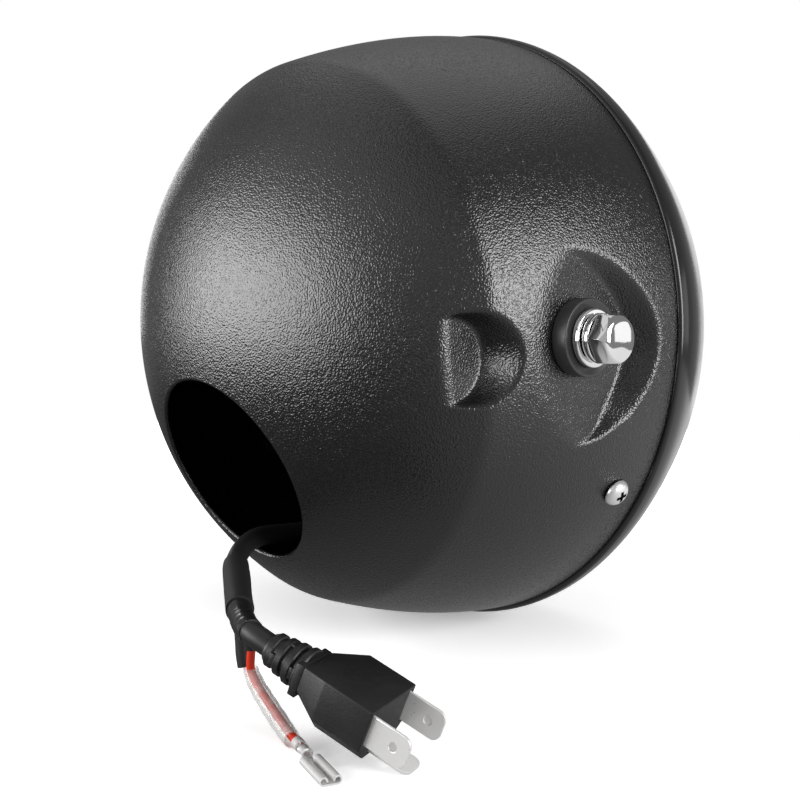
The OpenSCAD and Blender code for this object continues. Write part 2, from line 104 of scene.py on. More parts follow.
def turned(name, outline, steps=96, closed=True):
    # a circle is extruded ring by ring along an outline of (radius, height), in mm
    radius, height = outline[0]
    obj = addPrimitive("circle", name, vertices=steps, radius=radius * mm, location=(0, 0, height * mm))
    editMode(obj)
    bpy.ops.mesh.select_all(action="SELECT")
    for (wide, low), (nextWide, high) in zip(outline, outline[1:]):
        bpy.ops.mesh.extrude_region_move(TRANSFORM_OT_translate={"value": (0, 0, (high - low) * mm)})
        if abs(nextWide - wide) > tiny:
            grown = nextWide / wide
            bpy.ops.transform.resize(value=(grown, grown, 1), center_override=(0, 0, high * mm))
    bpy.ops.mesh.select_all(action="DESELECT")
    bpy.ops.mesh.select_non_manifold()
    if closed:
        bpy.ops.mesh.bridge_edge_loops()
    else:
        bpy.ops.mesh.edge_face_add()
    objectMode()
    faceOut(obj)
    return obj


def arc(across, up, radius, start, end, steps):
    # points of a circular arc about (across, up), from angle start to end in degrees
    angles = [math.radians(start + (end - start) * i / steps) for i in range(steps + 1)]
    return [(across + radius * math.cos(a), up + radius * math.sin(a)) for a in angles]


def moved(obj, matrix):
    obj.data.transform(matrix)
    obj.data.update()
    return obj


def shift(x, y, z):
    return Matrix.Translation((x * mm, y * mm, z * mm))


def turn(angle, axis):
    return Matrix.Rotation(math.radians(angle), 4, axis)


def block(name, place, *sizes):
    # a box of these sizes, centred on its place
    obj = addPrimitive("cube", name, size=1)
    return moved(obj, place @ Matrix.Diagonal([size * mm for size in sizes] + [1]))


def copyOf(obj, name, matrix):
    other = obj.copy()
    other.data = obj.data.copy()
    other.name = name
    other.data.name = name
    bpy.context.scene.collection.objects.link(other)
    return moved(other, matrix)


def joined(name, *parts):
    onlySelect(*parts)
    bpy.ops.object.join()
    obj = bpy.context.object
    obj.name = name
    obj.data.name = name
    return obj


def dress(obj, look, slot, *stoodFor):
    obj.data.materials.clear()
    obj.data.materials.append(look)
    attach(obj, "root")
    if stoodFor:
        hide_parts(*stoodFor)
    return obj


# materials
def grey(value):
    return (value, value, value, 1)


def dimmed(colour, share):
    return tuple(c * share for c in colour[:3]) + (1,)


class Flow:
    # one socket of a material, where + - and * add Math nodes
    def __init__(self, look, socket):
        self.look, self.socket = look, socket

    def __add__(self, other):
        return self.look.sums("ADD", self, other)

    __radd__ = __add__

    def __sub__(self, other):
        return self.look.sums("SUBTRACT", self, other)

    def __rsub__(self, other):
        return self.look.sums("SUBTRACT", other, self)

    def __mul__(self, other):
        return self.look.sums("MULTIPLY", self, other)

    __rmul__ = __mul__


class Look:
    def __init__(self, name):
        self.material = bpy.data.materials.new(name)
        self.material.use_nodes = True
        self.tree = self.material.node_tree
        self.tree.nodes.clear()
        self.out = self.tree.nodes.new("ShaderNodeOutputMaterial")
        self.place = self.node("ShaderNodeTexCoord", out="Object")

    def node(self, kind, settings=None, inputs=None, out=0):
        made = self.tree.nodes.new(kind)
        for key, value in (settings or {}).items():
            if key == "stops":
                ramp = made.color_ramp
                while len(ramp.elements) < len(value):
                    ramp.elements.new(0.5)
                for element, (position, level) in zip(ramp.elements, value):
                    element.position = position
                    element.color = grey(level)
            else:
                setattr(made, key, value)
        for key, value in (inputs or {}).items():
            socket = made.inputs[key]
            if isinstance(value, Flow):
                self.tree.links.new(value.socket, socket)
            else:
                socket.default_value = value
        return Flow(self, made.outputs[out])

    def sums(self, operation, a, b):
        return self.node("ShaderNodeMath", {"operation": operation}, {0: a, 1: b})

    def noise(self, scale, detail=2.0, roughness=0.5):
        inputs = {"Vector": self.place, "Scale": scale, "Detail": detail, "Roughness": roughness}
        return self.node("ShaderNodeTexNoise", None, inputs, "Fac")

    def ramp(self, value, *stops):
        return self.node("ShaderNodeValToRGB", {"stops": stops}, {"Fac": value}, "Color")

    def blend(self, amount, a, b):
        return self.node("ShaderNodeMix", {"data_type": "RGBA"}, {0: amount, 6: a, 7: b}, 2)

    def bump(self, height, distance, strength):
        # distance in mm
        inputs = {"Height": height, "Distance": distance * mm, "Strength": strength}
        return self.node("ShaderNodeBump", None, inputs)

    def surface(self, **inputs):
        named = {key.replace("_", " "): value for key, value in inputs.items()}
        shader = self.node("ShaderNodeBsdfPrincipled", None, named)
        self.tree.links.new(shader.socket, self.out.inputs["Surface"])
        return self.material


coat = {
    "grainScale": 2000, "grainDetail": 0.4, "pitScale": 1900, "pitEdges": ((0.3, 1.0), (0.56, 0.0)),
    "low": (0.006, 0.006, 0.0062, 1), "high": (0.0085, 0.0083, 0.0082, 1), "specular": 0.8,
    "rough": 0.2, "pitRough": 0.1, "pitDepth": 0.1, "relief": 0.18,
}


def powderCoat():
    look = Look("powderCoat")
    grain = look.noise(coat["grainScale"], coat["grainDetail"])
    pits = look.ramp(look.noise(coat["pitScale"], 0), *coat["pitEdges"])
    height = grain - pits * coat["pitDepth"]
    return look.surface(Base_Color=look.blend(pits, coat["low"], coat["high"]), Metallic=0.0,
                        Roughness=pits * coat["pitRough"] + coat["rough"],
                        Specular_IOR_Level=coat["specular"], Normal=look.bump(height, coat["relief"], 1.0))


def satinBlack():
    look = Look("satinBlack")
    colour = look.blend(look.noise(30), (0.007, 0.007, 0.0072, 1), (0.011, 0.011, 0.0112, 1))
    return look.surface(Base_Color=colour, Roughness=look.noise(260, 4) * 0.08 + 0.14, Specular_IOR_Level=0.5,
                        Normal=look.bump(look.noise(1500, 2), 0.012, 0.35))


def metal(name, colour, dark, rough, spread, grain=0.006, scale=900, shine=1.0):
    look = Look(name)
    return look.surface(Base_Color=look.blend(look.noise(scale / 4, 4), colour, dark), Metallic=shine,
                        Roughness=look.noise(scale, 3) * spread + rough,
                        Normal=look.bump(look.noise(scale, 3), grain, 0.4))


def moulded(name, low, high, rough, spread=0.12, scale=1500, depth=0.03, specular=0.4):
    look = Look(name)
    return look.surface(Base_Color=look.blend(look.noise(scale / 8, 3), low, high),
                        Roughness=look.noise(scale / 2, 3) * spread + rough, Specular_IOR_Level=specular,
                        Normal=look.bump(look.noise(scale, 3, 0.6), depth, 0.5))


def clearGlass(name, tint):
    look = Look(name)
    return look.surface(Base_Color=look.blend(look.noise(40), tint, dimmed(tint, 0.98)),
                        Roughness=look.noise(60) * 0.02 + 0.03, Transmission_Weight=1.0, IOR=1.5)


def frosted():
    # a thin milky film: see-through face on, denser where it turns away or is creased
    look = Look("frostedSleeve")
    crease = look.ramp(look.noise(230, 2, 0.5), (0.4, 0.16), (0.64, 0.34))
    facing = look.node("ShaderNodeLayerWeight", None, {"Blend": 0.5}, "Facing")
    edge = look.ramp(facing, (0.3, 0.0), (0.9, 0.45))
    return look.surface(Base_Color=look.blend(crease, (0.78, 0.82, 0.8, 1), (0.97, 0.98, 0.97, 1)),
                        Roughness=crease * 0.2 + 0.08, Alpha=crease + edge, Specular_IOR_Level=0.8,
                        Normal=look.bump(look.noise(260, 2, 0.5), 0.08, 0.5))


def lampPart(name, colour, rough):
    look = Look(name)
    return look.surface(Base_Color=look.blend(look.noise(300), colour, dimmed(colour, 0.9)),
                        Roughness=look.noise(400) * 0.1 + rough)


# metal: two colours, roughness, its spread, relief in mm, grain scale, share of metal
# moulded: two colours, roughness, its spread, grain scale, relief in mm, specular level
looks = {
    "coat": powderCoat(),
    "satin": satinBlack(),
    "chrome": metal("polishedChrome", grey(0.86), grey(0.8), 0.04, 0.05, 0.002),
    "steel": metal("stainless", grey(0.82), grey(0.74), 0.24, 0.15, shine=0.75),
    "zinc": metal("zincPlate", (0.62, 0.62, 0.6, 1), (0.5, 0.5, 0.49, 1), 0.3, 0.2),
    "tin": metal("tinPlate", (0.97, 0.965, 0.96, 1), (0.92, 0.91, 0.9, 1), 0.24, 0.12, 0.004, 1400, 0.5),
    "casting": metal("blackCasting", grey(0.045), grey(0.03), 0.45, 0.2, 0.04, 1200),
    "tube": metal("satinTube", grey(0.35), grey(0.25), 0.35, 0.15),
    "mirror": metal("vapourMirror", grey(0.88), grey(0.84), 0.05, 0.05, 0.001),
    "rubber": moulded("blackRubber", grey(0.02), grey(0.032), 0.3, 0.16, 1600, 0.05, 0.5),
    "plastic": moulded("plugPlastic", (0.006, 0.006, 0.0065, 1), (0.014, 0.014, 0.015, 1),
                       0.34, 0.2, 1500, 0.12, 0.45),
    "jacket": moulded("cableJacket", grey(0.012), grey(0.018), 0.4, 0.1, 1100, 0.02),
    "sleeve": moulded("shrinkSleeve", grey(0.012), grey(0.018), 0.5, 0.1, 900, 0.03, 0.35),
    "tight": moulded("crinkledSleeve", grey(0.01), grey(0.016), 0.24, 0.08, 420, 0.35, 0.6),
    "glossBlack": moulded("glossBlack", grey(0.008), grey(0.012), 0.12, 0.05, 200, 0.002, 0.5),
    "red": moulded("redInsulation", (0.72, 0.03, 0.012, 1), (0.8, 0.06, 0.02, 1), 0.3, 0.1, 900, 0.01),
    "clearLens": clearGlass("clearLens", (0.97, 0.98, 0.98, 1)),
    "projector": clearGlass("projectorGlass", (0.9, 0.94, 0.97, 1)),
    "frosted": frosted(),
    "guide": lampPart("lightGuide", (0.82, 0.82, 0.78, 1), 0.25),
    "phosphor": lampPart("phosphor", (0.85, 0.62, 0.1, 1), 0.35),
    "board": lampPart("circuitBoard", (0.02, 0.1, 0.045, 1), 0.35),
}
print("materials made")


# camera, floor and light
studio = {
    "cameraAt": (-302.5, 254.8, 14.2), "right": (-0.690, -0.724, 0.016), "up": (0.036, -0.012, 0.999),
    "lens": 53.3, "shiftX": -0.0544, "shiftY": -0.0941, "floorZ": -100.6, "floorSize": 1.1,
    "skyGlow": 0.22, "floorGrey": 0.12, "floorSeen": 1.35,
    # the paper's own glow to the camera: its middle, and between which distances it turns white
    "floorLift": 0.25, "liftRim": (0.25, 0.5),
    # its glow as it lights the lamp: stronger toward the front, and a small round card beside the plug
    "floorFront": 0.75, "frontSlope": (0.2, 1.9, 2.2), "frontRim": 0.8,
    "cardAt": (-0.095, 0.1, 0), "cardRim": (0.03, 0.06), "cardGlow": 0.8,
    # panels: bearing from +Y toward +X, height, distance in metres, half spreads, brightness
    "softboxes": {
        "rearBox": (27, 4, 1.2, (31, 21), 6.0), "highBox": (15, 46, 1.4, (36, 13), 0.5),
        "sideBox": (-97, 12, 1.2, (16, 17), 8.5), "topBox": (130, 72, 1.4, (28, 28), 0.5),
        "nearBox": (-42, 14, 1.6, (30, 24), 0.2), "rimBox": (112, 6, 1.3, (8, 9), 2.0),
        "frontBox": (152, 4, 1.5, (12, 13), 1.1), "flankBox": (-140, 4, 1.5, (15, 8), 0.9),
    },
}


def makeCamera():
    data = bpy.data.cameras.new("camera")
    camera = bpy.data.objects.new("camera", data)
    bpy.context.scene.collection.objects.link(camera)
    right = Vector(studio["right"]).normalized()
    up = Vector(studio["up"])
    up = (up - right * up.dot(right)).normalized()
    back = right.cross(up)
    turnTo = Matrix((right, up, back)).transposed().to_4x4()
    camera.matrix_world = Matrix.Translation(Vector(studio["cameraAt"]) * mm) @ turnTo
    data.sensor_width = 36
    data.lens = studio["lens"]
    data.shift_x = studio["shiftX"]
    data.shift_y = studio["shiftY"]
    data.clip_start = 0.01
    data.clip_end = 50
    bpy.context.scene.camera = camera


def softbox(name, across, up, away, spreads, brightness):
    # a lit panel that faces the lamp, with its angles in degrees
    data = bpy.data.lights.new(name, "AREA")
    data.shape = "RECTANGLE"
    data.size, data.size_y = (2 * away * math.tan(math.radians(a)) for a in spreads)
    data.energy = brightness * math.pi * data.size * data.size_y
    lamp = bpy.data.objects.new(name, data)
    bpy.context.scene.collection.objects.link(lamp)
    a, e = math.radians(across), math.radians(up)
    lamp.location = Vector((math.sin(a) * math.cos(e), math.cos(a) * math.cos(e), math.sin(e))) * away
    lamp.rotation_euler = (-lamp.location).to_track_quat("-Z", "Y").to_euler()


def makeFloor():
    floor = addPrimitive("plane", "floor", size=studio["floorSize"], location=(0, 0, studio["floorZ"] * mm))
    look = Look("floorPaper")
    seen = look.node("ShaderNodeLightPath", out="Is Camera Ray")
    tone = look.blend(seen, grey(studio["floorGrey"]), grey(studio["floorSeen"]))
    paper = look.node("ShaderNodeBsdfDiffuse", None, {"Color": tone})
    spread = look.node("ShaderNodeVectorMath", {"operation": "LENGTH"}, {0: look.place}, "Value")
    inner, outer = studio["liftRim"]
    lift = look.ramp(spread, (inner, studio["floorLift"]), (outer, 1.0))
    x = look.node("ShaderNodeSeparateXYZ", None, {0: look.place}, "X")
    y = look.node("ShaderNodeSeparateXYZ", None, {0: look.place}, "Y")
    start, alongX, alongY = studio["frontSlope"]
    toFront = start - x * alongX - y * alongY
    front = look.ramp(toFront, (0.0, 0.0), (studio["frontRim"], studio["floorFront"]))
    apart = {0: look.place, 1: studio["cardAt"]}
    beside = look.node("ShaderNodeVectorMath", {"operation": "DISTANCE"}, apart, "Value")
    full, gone = studio["cardRim"]
    card = look.ramp(beside, (full, 1.0), (gone, 0.0)) * studio["cardGlow"]
    glow = look.node("ShaderNodeEmission", None, {"Strength": look.blend(seen, front + card, lift)})
    both = look.node("ShaderNodeAddShader", None, {0: paper, 1: glow})
    look.tree.links.new(both.socket, look.out.inputs["Surface"])
    floor.data.materials.append(look.material)


def makeWorld():
    world = bpy.data.worlds.new("studioWorld")
    bpy.context.scene.world = world
    world.use_nodes = True
    tree = world.node_tree
    tree.nodes.clear()
    out = tree.nodes.new("ShaderNodeOutputWorld")
    path = tree.nodes.new("ShaderNodeLightPath")
    white = tree.nodes.new("ShaderNodeBackground")
    dim = tree.nodes.new("ShaderNodeBackground")
    mix = tree.nodes.new("ShaderNodeMixShader")
    white.inputs["Color"].default_value = grey(1)
    dim.inputs["Color"].default_value = grey(1)
    dim.inputs["Strength"].default_value = studio["skyGlow"]
    tree.links.new(path.outputs["Is Camera Ray"], mix.inputs[0])
    tree.links.new(dim.outputs[0], mix.inputs[1])
    tree.links.new(white.outputs[0], mix.inputs[2])
    tree.links.new(mix.outputs[0], out.inputs["Surface"])


makeCamera()
makeFloor()
makeWorld()
for name, values in studio["softboxes"].items():
    softbox(name, *values)
bpy.context.scene.view_settings.view_transform = "Standard"
print("camera, floor and light set")


# bucket
bucket = {
    "jointRadius": 99.0, "skirtDrop": 6.5, "skirtSpan": 40.0, "skirtCurve": 1.75,
    "domeRadius": 108.3, "domeBack": -5.0, "domeLift": 2.0, "creaseSoft": 0.6,
    "wall": 1.5, "frontLap": -5.6, "openingRadius": 31.2, "openingDrop": 25.0, "levelAngle": 90.4,
    "seatX": 89.5, "seatBack": 41.0, "seatZ": -3.0, "seatSoft": 1.3,
    "notchX": 76.0, "notchBack": 70.0, "notchZ": -6.3, "notchSoft": 2.2,
    "pressReach": 14.0, "pressFrom": 30.0, "footShare": 0.8,
    # round each floor, from below to above by way of the front: bearing, floor radius, steepness of the wall
    "seatRound": [(-180, 27.5, 1.7), (-75, 28.6, 1.8), (-59, 28.5, 1.75), (-51, 27.5, 1.4), (-40, 25.9, 1.0),
                  (-29, 26.0, 1.3), (-12, 27.1, 1.6), (2, 27.9, 1.78), (12, 27.9, 1.8), (23, 27.3, 1.75),
                  (33, 26.3, 1.6), (44, 25.6, 1.4), (53, 25.3, 1.1), (62, 25.2, 0.92), (71, 25.7, 0.75),
                  (80, 27.0, 1.0), (95, 27.5, 1.6), (180, 27.5, 1.7)],
    "notchRound": [(-180, 11.8, 2.8), (180, 11.8, 2.8)],
    # the rolled rim of the wire opening: angle past the opening, depth in the wall
    "rim": [(0.0045, 0.0), (0.0028, 0.1), (0.0012, 0.32), (0.0, 0.62), (0.0, 0.95), (0.0016, 1.25),
            (0.005, 1.47)],
    "columns": 441, "outerRows": 162, "innerRows": 46,
    "flankGain": 2.6, "flankSpan": 24, "rowGain": 2.4, "rowMiddle": 62, "rowSpan": 22,
}


def softLower(a, b, k):
    # the lower of two heights, with a rounding of about k where they meet
    h = np.clip((k - np.abs(a - b)) / k, 0, 1)
    return np.minimum(a, b) - h * h * k / 4


def softHigher(a, b, k):
    return -softLower(-a, -b, k)


def skirtRadius(depth):
    return bucket["jointRadius"] - bucket["skirtDrop"] * (depth / bucket["skirtSpan"]) ** bucket["skirtCurve"]


def skirtReach(out, back):
    # how far the turned skirt lies from the dome's centre along a direction, found in small steps
    reach = np.full_like(out, 100.0)
    for _ in range(40):
        depth = np.maximum(bucket["domeBack"] + reach * back, 0)
        aim = np.maximum(skirtRadius(depth), 1) / np.maximum(out, 0.02)
        reach = np.minimum(0.5 * reach + 0.5 * aim, 200)
    return reach


def roundOutline(rows, bearing):
    # radius and steepness at each bearing, smoothed over about ten degrees
    every = np.arange(-180, 181)
    window = np.hanning(15)[1:-1] / np.hanning(15).sum()
    made = []
    for column in (1, 2):
        line = np.interp(every, [row[0] for row in rows], [row[column] for row in rows])
        line = np.convolve(np.pad(line, 6, "edge"), window, "valid")
        made.append(np.interp(bearing, every, line))
    return made


def pressIn(points, inset):
    # the seat and the notch are pressed into both flanks
    x = np.abs(points[:, 0])
    depth = points[:, 1] - jointY
    for key in ("seat", "notch"):
        soft = bucket[key + "Soft"]
        forward = bucket[key + "Back"] - depth
        above = points[:, 2] - bucket[key + "Z"]
        away = np.hypot(forward, above)
        floorRadius, slope = roundOutline(bucket[key + "Round"], np.degrees(np.arctan2(above, forward)))
        wallUp = (away - floorRadius) * slope
        raised = softHigher(wallUp, np.zeros_like(away), soft * bucket["footShare"])
        pressed = bucket[key + "X"] - inset + raised
        near = (away < floorRadius + bucket["pressReach"]) & (x > bucket["pressFrom"])
        x = np.where(near, softLower(x, pressed, soft), x)
    points[:, 0] = np.sign(points[:, 0]) * x
    return points


def openAngle():
    return math.asin(bucket["openingRadius"] / bucket["domeRadius"])


def bucketPoints(reachAngle, around, inset):
    # small circles on the dome's centre slide from the wire opening (first) to the front edge (last)
    share = (reachAngle - openAngle()) / (math.radians(bucket["levelAngle"]) - openAngle())
    tilt = math.radians(bucket["openingDrop"]) * (1 - np.clip(share, -0.05, 1))
    x = np.sin(reachAngle) * np.cos(around)
    y = np.cos(reachAngle)
    z = np.sin(reachAngle) * np.sin(around)
    y, z = y * np.cos(tilt) + z * np.sin(tilt), z * np.cos(tilt) - y * np.sin(tilt)
    out = np.hypot(x, z)
    lift = bucket["domeLift"]
    domeReach = z * lift + np.sqrt((z * lift) ** 2 - lift ** 2 + bucket["domeRadius"] ** 2)
    wide = softLower(domeReach, skirtReach(out, y), bucket["creaseSoft"])
    reach = np.where(out > 0.6, wide, domeReach) - inset
    points = np.stack([x * reach, jointY + bucket["domeBack"] + y * reach, z * reach], 1)
    return pressIn(points, inset)


def spacedBy(weight, low, high, count, samples=4000):
    # count values from low to high, closer where weight is larger
    fine = np.linspace(low, high, samples)
    total = np.concatenate([[0], np.cumsum(weight(fine)[:-1])])
    return np.interp(np.linspace(0, total[-1], count), total, fine)


def flankWeight(angle):
    # more columns on the two flanks
    angle = np.degrees(angle) % 360
    near = np.minimum(np.abs(angle - 180), np.minimum(angle, 360 - angle))
    return 1 + bucket["flankGain"] * np.exp(-((near / bucket["flankSpan"]) ** 4))


def rowWeight(angle):
    # more rows across the seat and the notch
    off = (np.degrees(angle) - bucket["rowMiddle"]) / bucket["rowSpan"]
    return 1 + bucket["rowGain"] * np.exp(-(off ** 4))


def makeBucket():
    start = openAngle()
    past = bucket["frontLap"] - bucket["domeBack"]
    frontAngle = math.radians(90) + math.atan(past / bucket["jointRadius"])
    columns = spacedBy(flankWeight, 0, 2 * math.pi, bucket["columns"])
    outer = spacedBy(rowWeight, start + 0.006, frontAngle, bucket["outerRows"])[::-1]
    inner = spacedBy(rowWeight, start + 0.012, frontAngle, bucket["innerRows"])
    rows = [(angle, 0.0) for angle in outer] + [(start + more, depth) for more, depth in bucket["rim"]]
    rows += [(angle, bucket["wall"]) for angle in inner]
    # a flat sheet is added as a grid, then wrapped round the form
    counts = {"x_subdivisions": len(columns) - 1, "y_subdivisions": len(rows) - 1}
    obj = addPrimitive("grid", "bucketShell", size=1, **counts)
    angles = np.repeat([row[0] for row in rows], len(columns))
    insets = np.repeat([row[1] for row in rows], len(columns))
    around = np.tile(columns, len(rows))
    points = bucketPoints(angles, around, insets) * mm
    obj.data.vertices.foreach_set("co", points.astype(np.float32).ravel())
    obj.data.update()
    faceOut(obj, 0.000001)
    editMode(obj)
    bpy.ops.mesh.select_non_manifold()
    bpy.ops.mesh.bridge_edge_loops()
    bpy.ops.mesh.select_all(action="SELECT")
    bpy.ops.mesh.normals_make_consistent(inside=False)
    objectMode()
    shade(obj, 50)
    dress(obj, looks["coat"], "textured_black", "bucket_shell")


makeBucket()
print("bucket made")


# trim ring
ring = {
    "radius": 100.5, "wall": 1.2, "lip": 83.0, "lipEdge": 0.3, "depth": 32.5, "bend": 1.4, "steps": 256,
    # how far each point of the two faces lies inside the radius, and how far forward
    "outside": [(0, 3), (0.25, 5), (0.8, 7), (1.7, 9.5), (3, 12.5), (4.4, 15.4), (6, 18.6), (7.6, 21.6),
                (9.2, 24.6), (10.8, 27.4), (12.2, 29.6), (13.2, 31), (14.2, 32), (15.2, 32.4), (16, 32.5)],
    "inside": [(15.4, 31.3), (13.4, 29.6), (10.4, 24.6), (7.2, 18.6), (4.2, 12.5), (2, 7), (1.2, 4),
               (1.2, 0.4)],
}


def makeTrimRing():
    radius, depth, lip, bend = ring["radius"], ring["depth"], ring["lip"], ring["bend"]
    outline = arc(radius - bend, -bend, bend, 90, 0, 8)
    outline += [(radius - inset, -forward) for inset, forward in ring["outside"]]
    outline += [(lip + ring["lipEdge"], -depth), (lip, ring["lipEdge"] - depth), (lip, ring["wall"] - depth)]
    outline += [(radius - inset, -forward) for inset, forward in ring["inside"]]
    obj = turned("trimRing", outline, ring["steps"])
    moved(obj, shift(0, jointY, 0) @ turn(-90, "X"))
    faceOut(obj)
    shade(obj, 45)
    dress(obj, looks["satin"], "satin_black", "trim_ring")


makeTrimRing()
print("trim ring made")


# side bolts, washers and rubber spacers
boltSet = {
    "spacer": 5.0, "spacerRadius": 11.0, "spacerBends": (0.5, 0.3), "spacerBore": 4.2, "hollow": 0.2,
    "flat": 1.8, "flatRadius": 8.2, "flatBends": (0.35, 0.45), "flatBore": 4.25,
    "spring": 3.1, "springRadius": 7.0, "springBend": 0.4, "springBore": 4.3,
    "springLow": 0.6, "springRise": 0.45, "gapAt": (6, 0, 1), "gapTurn": 28, "gap": (7, 0.7, 9),
    "across": 13.0, "head": 6.2, "crown": 0.55, "crownRadius": 5.4, "shank": 4.0, "shankIn": 14.0,
}


def makeSpacer():
    height, radius, bore = boltSet["spacer"], boltSet["spacerRadius"], boltSet["spacerBore"]
    foot, top = boltSet["spacerBends"]
    sunk = height - boltSet["hollow"]
    outline = [(bore, 0)] + arc(radius - foot, foot, foot, -90, 0, 4)
    outline += arc(radius - top, height - top, top, 0, 90, 3)
    outline += [(radius - 0.9, height), (radius - 1.15, sunk), (bore, sunk)]
    return turned("rubberSpacer", outline, 96)


def makeFlatWasher():
    thick, radius, bore = boltSet["flat"], boltSet["flatRadius"], boltSet["flatBore"]
    under, over = boltSet["flatBends"]
    outline = [(bore, 0)] + arc(radius - under, under, under, -90, 0, 3)
    outline += arc(radius - over, thick - over, over, 0, 90, 4) + [(bore, thick)]
    return turned("flatWasher", outline, 96)


def makeSpringWasher():
    radius, bore, bend = boltSet["springRadius"], boltSet["springBore"], boltSet["springBend"]
    low, rise = boltSet["springLow"], boltSet["springRise"]
    top = boltSet["spring"] - rise
    outline = [(bore, low), (radius - bend, low)] + arc(radius - bend, low + bend, bend, -90, 0, 3)[1:]
    outline += arc(radius - bend, top - bend, bend, 0, 90, 3) + [(bore, top)]
    obj = turned("springWasher", outline, 72)
    carve(obj, block("gap", shift(*boltSet["gapAt"]) @ turn(boltSet["gapTurn"], "X"), *boltSet["gap"]))
    # one end of the coil stands higher than the other
    for v in obj.data.vertices:
        share = (math.atan2(v.co.y, v.co.x) % (2 * math.pi)) / (2 * math.pi)
        v.co.z += (rise * share - 0.2) * mm
    # a collar inside carries it on the flat washer
    collar = turned("collar", [(bore, 0), (bore + 1.3, 0), (bore + 1.3, low + 0.2), (bore, low + 0.2)], 72)
    return joined("springWasher", obj, collar)


def makeBoltHead():
    height, shank, crown = boltSet["head"], boltSet["shank"], boltSet["crown"]
    radius = boltSet["across"] / 2 / math.cos(math.pi / 6)
    sizes = {"radius": radius * mm, "depth": height * mm, "location": (0, 0, height / 2 * mm)}
    obj = addPrimitive("cylinder", "boltHead", vertices=6, **sizes)
    # a turned form with a low crown rounds the six corners
    outline = [(x, height - crown * (x / boltSet["crownRadius"]) ** 2) for x in (1.2, 2.4, 3.6, 4.6, 5.4)]
    outline += [(5.9, height - 0.75), (6.4, height - 1.15), (7.1, height - 2.0), (7.9, height - 3.1)]
    outline += [(7.9, 0.45), (7.2, 0)]
    carve(obj, turned("dome", outline, 96, closed=False), "INTERSECT")
    soften(obj, 0.16, 2, 25)
    stem = turned("stem", [(shank, -boltSet["shankIn"]), (shank, 0.2)], 48, closed=False)
    return joined("sideBolt", obj, stem)


def makeBolts():
    onSeat = bucket["seatX"]
    onSpacer = onSeat + boltSet["spacer"]
    onFlat = onSpacer + boltSet["flat"]
    pieces = [
        (makeSpacer(), onSeat, "rubber", "black_rubber", "rubber_spacer", 45),
        (makeFlatWasher(), onSpacer, "chrome", "polished_chrome", "flat_washer", 45),
        (makeSpringWasher(), onFlat, "chrome", "polished_chrome", "spring_washer", 35),
        (makeBoltHead(), onFlat + boltSet["spring"], "chrome", "polished_chrome", "side_bolt", 32),
    ]
    for obj, out, look, slot, node, angle in pieces:
        faceOut(obj)
        for side, sign in (("right", -1), ("left", 1)):
            place = turn(90 * sign, "Y") @ shift(0, 0, out)
            made = copyOf(obj, obj.name + side.capitalize(), place)
            shade(made, angle)
            dress(made, looks[look], slot, node + "_" + side)
        bpy.data.objects.remove(obj)


makeBolts()
print("side bolts made")


# trim screws
screw = {
    "back": 12.0, "angle": 28.0,
    "profile": [(0.01, 3.0), (1.2, 2.96), (2.2, 2.78), (3.0, 2.42), (3.6, 1.9), (4.0, 1.25), (4.2, 0.6),
                (4.2, 0.3), (4.0, 0.1), (2.0, 0.1), (2.0, -7.6), (1.6, -8), (0.01, -8)],
    "crossTurns": (20, 110), "cross": (4.6, 1.15, 3.2), "crossMiddle": 2.1, "crossFoot": 0.45,
    "recessRadius": 2.6, "recessFloor": 0.2, "crown": 2.85, "crownFall": 0.062,
}


def makeTrimScrews():
    obj = turned("trimScrew", screw["profile"], 64)
    length, width, deep = screw["cross"]
    for angle in screw["crossTurns"]:
        slot = addPrimitive("cube", "slot", size=1)
        for v in slot.data.vertices:
            narrow = screw["crossFoot"] if v.co.z < 0 else 1.0
            height = screw["crossMiddle"] + v.co.z * deep
            v.co = Vector((v.co.x * length * narrow * mm, v.co.y * width * mm, height * mm))
        carve(obj, moved(slot, turn(angle, "Z")))
    soften(obj, 0.08, 2, 40)
    faceOut(obj)
    # the walls and floor of the cross recess get gloss black: painted shade, standing for the shade inside
    # the recess of an all-steel screw
    paintedShadeFaces = []
    for face in obj.data.polygons:
        at = face.center / mm
        out = math.hypot(at.x, at.y)
        under = screw["crown"] - screw["crownFall"] * out ** 2
        if out < screw["recessRadius"] and screw["recessFloor"] < at.z < under:
            paintedShadeFaces.append(face.index)
    for side, sign in (("right", -1), ("left", 1)):
        place = shift(0, jointY + screw["back"], 0) @ turn(sign * (90 + screw["angle"]), "Y")
        place = place @ shift(0, 0, skirtRadius(screw["back"]))
        made = copyOf(obj, "trimScrew" + side.capitalize(), place)
        shade(made, 35)
        dress(made, looks["steel"], "bright_steel", "trim_screw_" + side)
        # gloss black on the recess faces is painted shade, not a finish of the screw
        made.data.materials.append(looks["glossBlack"])
        for i in paintedShadeFaces:
            made.data.polygons[i].material_index = 1
    bpy.data.objects.remove(obj)


makeTrimScrews()
print("trim screws made")


